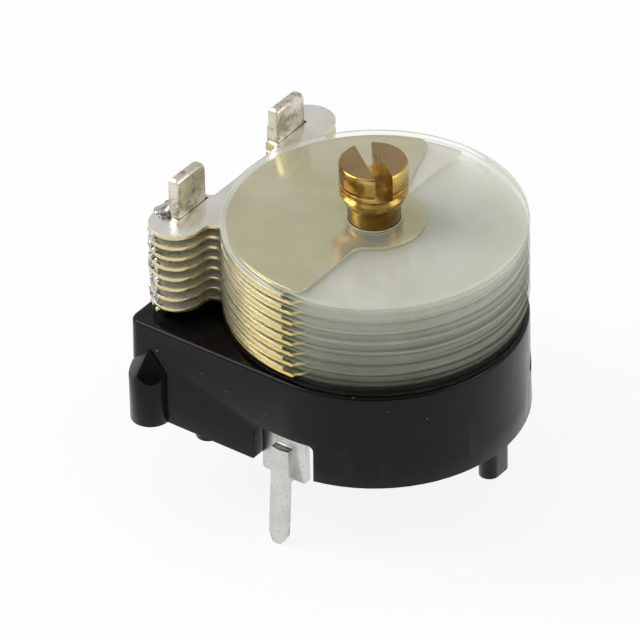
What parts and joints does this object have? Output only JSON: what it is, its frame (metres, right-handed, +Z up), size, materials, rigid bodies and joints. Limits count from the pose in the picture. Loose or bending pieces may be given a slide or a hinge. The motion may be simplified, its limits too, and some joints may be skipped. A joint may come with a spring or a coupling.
{
  "type": "film-dielectric trimmer capacitor",
  "caption": "Board-mounted trimmer capacitor: a slotted brass shaft turns half-round plates between stator plates and thin films on a moulded housing.",
  "frame": {"origin": "on the shaft's axis, in the plane of the circuit board under the housing's feet", "axes": "+Z up along the shaft; -X towards the two stator tags; -Y towards the rotor's solder pin"},
  "size_m": [0.0111, 0.0112, 0.0118],
  "materials": {
    "black_plastic": "moulded, semi-matt",
    "film": "milky translucent film",
    "brass_plate": "rolled and stamped sheet",
    "brass_spacer": "turned",
    "silver_plate": "silver-plated stamped sheet",
    "silver_spacer": "silver-plated",
    "tinned_tag": "dull tinned",
    "turned_brass": "turned, bright",
    "tinned_sheet": "satin tinned sheet",
    "solder": "lumpy bright solder",
    "spring_bronze": "rolled",
    "clip_steel": "oiled spring steel"
  },
  "bodies": {
    "stator": {"film_1": "film", "film_10": "film", "film_11": "film", "film_12": "film", "film_13": "film", "film_14": "film", "film_15": "film", "film_16": "film", "film_17": "film", "film_18": "film", "film_2": "film", "film_3": "film", "film_4": "film", "film_5": "film", "film_6": "film", "film_7": "film", "film_8": "film", "film_9": "film", "housing": "black_plastic", "rotor_terminal": "tinned_sheet", "stator_plate_1": "silver_plate", "stator_plate_2": "silver_plate", "stator_plate_3": "silver_plate", "stator_plate_4": "silver_plate", "stator_plate_5": "silver_plate", "stator_plate_6": "silver_plate", "stator_plate_7": "silver_plate", "stator_plate_8": "silver_plate", "stator_spacer_1": "silver_spacer", "stator_spacer_2": "silver_spacer", "stator_spacer_3": "silver_spacer", "stator_spacer_4": "silver_spacer", "stator_spacer_5": "silver_spacer", "stator_spacer_6": "silver_spacer", "stator_spacer_7": "silver_spacer", "stator_tag_left": "tinned_tag", "stator_tag_right": "tinned_tag", "tag_solder": "solder"},
    "rotor": {"rotor_plate_1": "brass_plate", "rotor_plate_2": "brass_plate", "rotor_plate_3": "brass_plate", "rotor_plate_4": "brass_plate", "rotor_plate_5": "brass_plate", "rotor_plate_6": "brass_plate", "rotor_plate_7": "brass_plate", "rotor_plate_8": "brass_plate", "rotor_plate_9": "brass_plate", "rotor_shaft": "turned_brass", "rotor_spacer_1": "brass_spacer", "rotor_spacer_2": "brass_spacer", "rotor_spacer_3": "brass_spacer", "rotor_spacer_4": "brass_spacer", "rotor_spacer_5": "brass_spacer", "rotor_spacer_6": "brass_spacer", "rotor_spacer_7": "brass_spacer", "rotor_spacer_8": "brass_spacer", "rotor_spacer_9": "brass_spacer", "shaft_clip": "clip_steel", "spring_washer": "spring_bronze"}
  },
  "joints": [
    {"name": "rotor_turn", "type": "hinge", "parent": "stator", "child": "rotor", "pos_m": [0, 0, 0.0044], "axis": [0, 0, 1], "continuous": true}
  ]
}
